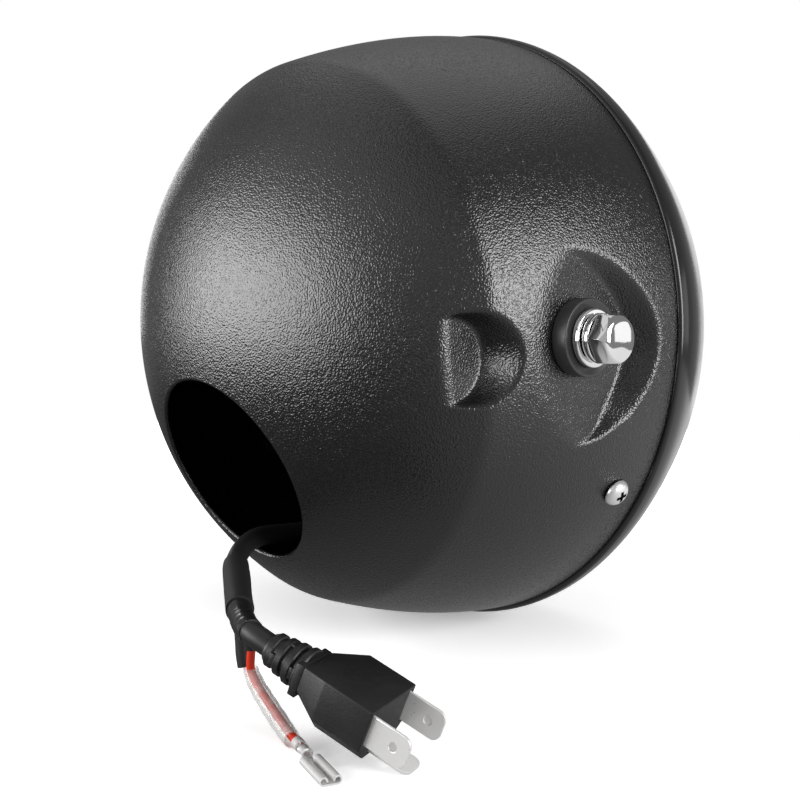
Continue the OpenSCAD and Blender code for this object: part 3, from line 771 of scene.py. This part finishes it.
# lead, sleeves, red wire
lead = {
    "route": [(0, -12, -66.5), (0, 6, -66.5), (2, 28, -66), (1, 44, -65.4), (-8, 57, -68), (-23, 67, -71.4),
              (-37.3, 75.8, -73.6), (-45, 80, -74.4)],
    "tail": [(-45, 80, -74.4), (-50.6, 82.8, -74.4), (-56.6, 84.7, -74.6), (-62.2, 83.1, -76.9),
             (-65.7, 81.8, -78.4)],
    "red": [(-52.4, 82, -78.6), (-50.6, 81.2, -82.6), (-50, 80.6, -86.5), (-53.5, 80.6, -90),
            (-59, 80.8, -93.2), (-65, 81, -96.4), (-68.6, 81.1, -98.1), (-71.2, 81.7, -98.5)],
    "stub": [(-40.4, 77.6, -75.4), (-41, 77.4, -81.6), (-41.4, 77.4, -84.8), (-42, 77.2, -88)],
    "mouth": [(-51.4, 82.4, -75.2), (-52.2, 82.1, -77.6), (-52.2, 81.9, -80.0)],
    "radius": 3.0, "redRadius": 1.1, "firstRadius": 3.85, "splitRadius": 3.3, "clearRadius": 1.95,
    "stubRadius": 1.9, "mouthRadius": 1.75, "filmSag": (0.7, 0.7, 0.3),
}


def routeOf(points, steps):
    # smooth curve through given points
    placed = [Vector(point) for point in points]
    last = len(placed) - 1
    made = []
    for i in range(last):
        a, b, c, d = placed[max(i - 1, 0)], placed[i], placed[i + 1], placed[min(i + 2, last)]
        for k in range(steps):
            u = k / steps
            made.append(0.5 * ((2 * b) + (c - a) * u + (2 * a - 5 * b + 4 * c - d) * u * u
                               + (3 * b - a - 3 * c + d) * u ** 3))
    return made + [placed[-1]]


def tubeAlong(name, points, radii, sides=32, wallIn=0.0):
    # a curve with round bevel, turned into a mesh
    data = bpy.data.curves.new(name, "CURVE")
    data.dimensions = "3D"
    data.bevel_depth = mm
    data.bevel_resolution = sides // 2 - 2
    data.use_fill_caps = not wallIn
    spline = data.splines.new("POLY")
    spline.points.add(len(points) - 1)
    for point, place, radius in zip(spline.points, points, radii):
        point.co = (*(place * mm), 1)
        point.radius = radius
    obj = bpy.data.objects.new(name, data)
    bpy.context.scene.collection.objects.link(obj)
    onlySelect(obj)
    bpy.ops.object.convert(target="MESH")
    obj = bpy.context.object
    faceOut(obj)
    if wallIn:
        applyModifier(obj, "SOLIDIFY", thickness=wallIn * mm, offset=-1)
    return obj


def pathLength(points):
    return sum((b - a).length for a, b in zip(points, points[1:])) * mm


def firstRadius(i):
    # slack, in slight waves, drawn in at its upper end
    return lead["firstRadius"] - 0.15 * math.exp(-i) + 0.06 * math.sin(i * 0.35)


def splitRadius(i):
    # shrunk tight: one swelling near its upper end, then creases
    swelling = 0.22 * math.exp(-((i - 3.6) / 1.7) ** 2)
    return lead["splitRadius"] + swelling + 0.07 * math.sin(i * 1.3) * (i > 7)


def clearRadius(i, share):
    # slack, widest below its middle, in slight waves
    return lead["clearRadius"] + 0.3 * math.sin(math.pi * share) + 0.15 * share + 0.05 * math.sin(i * 0.9)


def makeLead():
    route = routeOf(lead["route"], 10)
    tail = routeOf(lead["tail"], 10)
    whole = route + tail[1:]
    cable = tubeAlong("lampLead", whole, [lead["radius"]] * len(whole))
    shade(cable, 60)
    dress(cable, looks["jacket"], "cable_jacket", "lamp_lead", "plug_tail")
    part = route[43:62]
    first = tubeAlong("leadSleeve", part, [firstRadius(i) for i in range(len(part))], wallIn=0.5)
    shade(first, 50)
    dress(first, looks["sleeve"], "shrink_sleeve", "lead_sleeve")
    part = route[59:] + tail[1:19]
    split = tubeAlong("splitSleeve", part, [splitRadius(i) for i in range(len(part))], wallIn=0.4)
    mouth = routeOf(lead["mouth"], 8)
    mouth = tubeAlong("mouth", mouth, [lead["mouthRadius"]] * len(mouth), 24, wallIn=0.3)
    split = joined("splitSleeve", split, mouth)
    shade(split, 50)
    dress(split, looks["tight"], "shrink_sleeve", "split_sleeve")
    red = routeOf(lead["red"], 10)
    wire = tubeAlong("redWire", red, [lead["redRadius"]] * len(red), 20)
    shade(wire, 60)
    dress(wire, looks["red"], "red_insulation", "red_wire")
    # the film hangs off the wire toward its loose end
    part = red[18:69]
    shares = [i / (len(part) - 1) for i in range(len(part))]
    clear = [point + Vector(lead["filmSag"]) * share for point, share in zip(part, shares)]
    radii = [clearRadius(i, share) for i, share in enumerate(shares)]
    sleeve = tubeAlong("clearSleeve", clear, radii, 28, wallIn=0.3)
    shade(sleeve, 50)
    dress(sleeve, looks["frosted"], "clear_tube", "clear_sleeve")
    short = routeOf(lead["stub"], 6)
    stub = tubeAlong("stubSleeve", short, [lead["stubRadius"]] * len(short), 20)
    shade(stub, 50)
    dress(stub, looks["sleeve"], "shrink_sleeve", "stub_sleeve")
    return {"cable": (cable, whole), "wire": (wire, red), "first": first, "split": split, "sleeve": sleeve,
            "stub": stub}


cords = makeLead()
print("lead made")


# plug
plug = {
    "at": (-81, 76.3, -85), "turn": (2, 22, -160), "width": 20.8, "height": 14.0, "length": 14.0,
    "chamfer": 3.4, "taper": 9.2, "neckWidth": 11.0, "neckHeight": 8.0,
    "bladeY": 8.6, "bladeZ": 1.6, "crossY": -0.4, "crossZ": -5.8, "pocket": (2.0, 1.0, 8.4),
    "bladeWidth": 8.0, "bladeThick": 0.8, "bladeOut": 11.0, "bladeIn": 8.0, "bladeBend": 2.4,
    "holeRadius": 1.15, "holeBack": 4.3, "dimpleShift": 3.2,
}
boot = {
    "pitch": 3.2, "rib": 6.0, "ribStep": 0.5, "core": 4.75, "coreStep": 0.25, "flange": (8.7, 12.3, 2.2),
    "bridge": (1.7, 3.2, 1.6), "bridgeOut": 4.3, "bridgeUp": 2.6,
}
plugPlace = shift(*plug["at"]) @ Euler([math.radians(a) for a in plug["turn"]], "XYZ").to_matrix().to_4x4()


def selectMode(vertices, edges, faces):
    bpy.context.tool_settings.mesh_select_mode = (vertices, edges, faces)


def makePlugBody():
    length, width, height = plug["length"], plug["width"], plug["height"]
    body = block("plugBody", shift(length / 2, 0, 0), length, width, height)
    editMode(body)
    selectMode(False, True, False)
    objectMode()
    # the two long edges underneath are cut off at an angle
    for edge in body.data.edges:
        ends = [body.data.vertices[i].co for i in edge.vertices]
        edge.select = all(v.z < 0 for v in ends) and abs(ends[0].y - ends[1].y) < tiny
    bpy.ops.object.mode_set(mode="EDIT")
    bpy.ops.mesh.bevel(offset=plug["chamfer"] * mm, segments=1)
    selectMode(False, False, True)
    bpy.ops.mesh.select_all(action="DESELECT")
    objectMode()
    # the back face is drawn out to the narrow neck
    for face in body.data.polygons:
        face.select = face.normal.x < -0.9
    bpy.ops.object.mode_set(mode="EDIT")
    bpy.ops.mesh.extrude_region_move(TRANSFORM_OT_translate={"value": (-plug["taper"] * mm, 0, 0)})
    bpy.ops.transform.resize(value=(1, plug["neckWidth"] / width, plug["neckHeight"] / height),
                             center_override=(-plug["taper"] * mm, 0, 0))
    bpy.ops.mesh.select_all(action="DESELECT")
    selectMode(True, False, False)
    objectMode()
    side, up = plug["bladeY"], plug["bladeZ"]
    deep, thin, wide = plug["pocket"]
    pockets = [(side, up, thin, wide), (-side, up, thin, wide), (plug["crossY"], plug["crossZ"], wide, thin)]
    for y, z, across, tall in pockets:
        carve(body, block("pocket", shift(length, y, z), deep, across, tall))
    soften(body, 0.35, 3, 25)
    moved(body, plugPlace)
    faceOut(body)
    shade(body, 35)
    return dress(body, looks["plastic"], "black_plastic", "plug_body")


def makeBoot():
    rib = boot["rib"]
    outline = [(0.01, 0), (rib - 0.4, 0), (rib, 0.4), (rib, 1.6), (rib - 0.3, 2.0), (4.6, 2.1)]
    for i in (1, 2, 3):
        low = i * boot["pitch"]
        radius = rib - boot["ribStep"] * i
        core = boot["core"] - boot["coreStep"] * i
        outline += [(core, low - 0.1), (radius - 0.3, low), (radius, low + 0.3), (radius, low + 1.6),
                    (radius - 0.35, low + 2.0), (core - 0.15, low + 2.1)]
    outline += [(3.75, 12.2), (3.6, 12.4), (3.15, 12.4), (3.1, 11.0), (0.01, 11.0)]
    made = turned("plugBoot", outline, 64)
    bars = [block("flange", shift(0, 0, 0.1), *boot["flange"])]
    # two bars join each pair of rings, a quarter turn on from one pair to the next
    for i in range(3):
        out = boot["bridgeOut"] - boot["coreStep"] * i
        for angle in ((0, 180) if i % 2 else (90, 270)):
            place = turn(angle, "Z") @ shift(out, 0, boot["bridgeUp"] + i * boot["pitch"])
            bars.append(block("bar", place, *boot["bridge"]))
    for bar in bars:
        soften(bar, 0.2)
    made = joined("plugBoot", made, *bars)
    moved(made, plugPlace @ shift(-plug["taper"], 0, 0) @ turn(-90, "Y"))
    faceOut(made)
    shade(made, 35)
    return dress(made, looks["plastic"], "black_plastic", "plug_boot")


def makeBlade(name, holed):
    # a flat tab with round corners at its tip: width along Z, length along X
    half, out, bend, thick = plug["bladeWidth"] / 2, plug["bladeOut"], plug["bladeBend"], plug["bladeThick"]
    tip = arc(out - bend, half - bend, bend, 90, 0, 6) + arc(out - bend, bend - half, bend, 0, -90, 6)
    outline = [(-plug["bladeIn"], half)] + tip + [(-plug["bladeIn"], -half)]
    tab = addPrimitive("circle", name, vertices=len(outline), radius=1, fill_type="NGON")
    for v, (x, z) in zip(tab.data.vertices, outline):
        v.co = Vector((x, thick / 2, z)) * mm
    editMode(tab)
    bpy.ops.mesh.select_all(action="SELECT")
    bpy.ops.mesh.extrude_region_move(TRANSFORM_OT_translate={"value": (0, -thick * mm, 0)})
    objectMode()
    faceOut(tab)
    # a hole right through, or a dimple in one face
    size = {"vertices": 32, "radius": plug["holeRadius"] * mm, "depth": 6 * mm}
    punch = addPrimitive("cylinder", "punch", rotation=(math.pi / 2, 0, 0), **size)
    moved(punch, shift(out - plug["holeBack"], 0 if holed else -plug["dimpleShift"], 0))
    carve(tab, punch)
    soften(tab, 0.14)
    return tab


def makeBlades():
    length, side, up = plug["length"], plug["bladeY"], plug["bladeZ"]
    across = shift(length, plug["crossY"], plug["crossZ"]) @ turn(90, "X")
    rows = [
        ("bladeNear", "plug_blade_near", shift(length, -side, up), True),
        ("bladeFar", "plug_blade_far", shift(length, side, up), False),
        ("bladeCross", "plug_blade_cross", across, True),
    ]
    made = []
    for name, node, place, holed in rows:
        tab = makeBlade(name, holed)
        moved(tab, plugPlace @ place)
        faceOut(tab)
        shade(tab, 20)
        made.append(dress(tab, looks["tin"], "tinned_metal", node))
    return made


spade = {
    "at": (-70.6, 81.5, -100.4), "turn": 163, "start": 10.5, "length": 13.4, "rows": 12, "thick": 0.4,
    "half": 1.5, "roll": 0.9, "rollAt": 1.75, "neckAt": (9.3, 0, 0.35), "neck": (3.0, 2.6, 0.4),
    "crimpAt": (5.2, 0, 1.75), "collarAt": (0.8, 0, 1.8),
}


def makeTerminal():
    # female spade: a flat strip whose long edges are rolled over, then two crimps
    roll = spade["roll"]
    half = [(0.0, 0.0), (spade["half"], 0.0)] + arc(spade["rollAt"], roll, roll, -90, 180, 12) + [(0.85, 0.7)]
    points = [(-x, z) for x, z in reversed(half)] + half[1:]
    count, rows = len(points), spade["rows"]
    strip = addPrimitive("grid", "spadeTerminal", x_subdivisions=count - 1, y_subdivisions=rows, size=1)
    for i, v in enumerate(strip.data.vertices):
        x, z = points[i % count]
        along = spade["start"] + spade["length"] * (i // count) / rows
        v.co = Vector((along * mm, x * mm, (spade["thick"] / 2 + z) * mm))
    applyModifier(strip, "SOLIDIFY", thickness=spade["thick"] * mm, offset=0)
    neck = block("neck", shift(*spade["neckAt"]), *spade["neck"])
    crimp = turned("crimp", [(1.0, 0), (1.4, 0.15), (1.2, 1.6), (1.4, 3.1), (1.0, 3.3)], 24)
    moved(crimp, shift(*spade["crimpAt"]) @ turn(90, "Y") @ Matrix.Diagonal((0.85, 1.1, 1, 1)))
    collar = turned("collar", [(1.15, 0), (1.55, 0.15), (1.55, 3.0), (1.15, 3.2)], 24)
    moved(collar, shift(*spade["collarAt"]) @ turn(90, "Y"))
    obj = joined("spadeTerminal", strip, neck, crimp, collar)
    moved(obj, shift(*spade["at"]) @ turn(spade["turn"], "Z"))
    faceOut(obj)
    shade(obj, 40)
    return dress(obj, looks["tin"], "tinned_metal", "spade_terminal")


plugBody = makePlugBody()
plugBoot = makeBoot()
blades = makeBlades()
terminal = makeTerminal()
print("plug made")

cable, cablePath = cords["cable"]
[c * mm for c in cablePath[0]]
round(pathLength(cablePath), 4)
[[c * mm for c in q] for q in cablePath]
wire, wirePath = cords["wire"]
[c * mm for c in wirePath[0]]
round(pathLength(wirePath), 4)
[[c * mm for c in q] for q in wirePath]


# finishes of the carried-over solids
finishes = {
    "lens": "clearLens", "lens_seal": "rubber", "lamp_housing": "casting", "inner_bezel": "glossBlack",
    "projector_lens_upper": "projector", "projector_lens_lower": "projector", "projector_tube_upper": "tube",
    "projector_tube_lower": "tube", "reflector_right": "mirror", "reflector_left": "mirror",
    "halo_light_guide": "guide", "led_board": "board", "led_chips": "phosphor", "breather_vent": "plastic",
    "cable_gland": "plastic", "retaining_ring": "zinc", "mounting_ring": "zinc", "aim_screw_top": "zinc",
    "aim_screw_side": "zinc", "pivot_screw": "zinc", "aim_spring_top": "zinc", "aim_spring_side": "zinc",
    "pivot_spring": "zinc", "trim_nut_right": "zinc", "trim_nut_left": "zinc", "bolt_nut_right": "zinc",
    "bolt_nut_left": "zinc",
}
for node, finish in finishes.items():
    solid = cadNodes[node]
    solid.data.materials.clear()
    solid.data.materials.append(looks[finish])
print("carried-over solids finished")
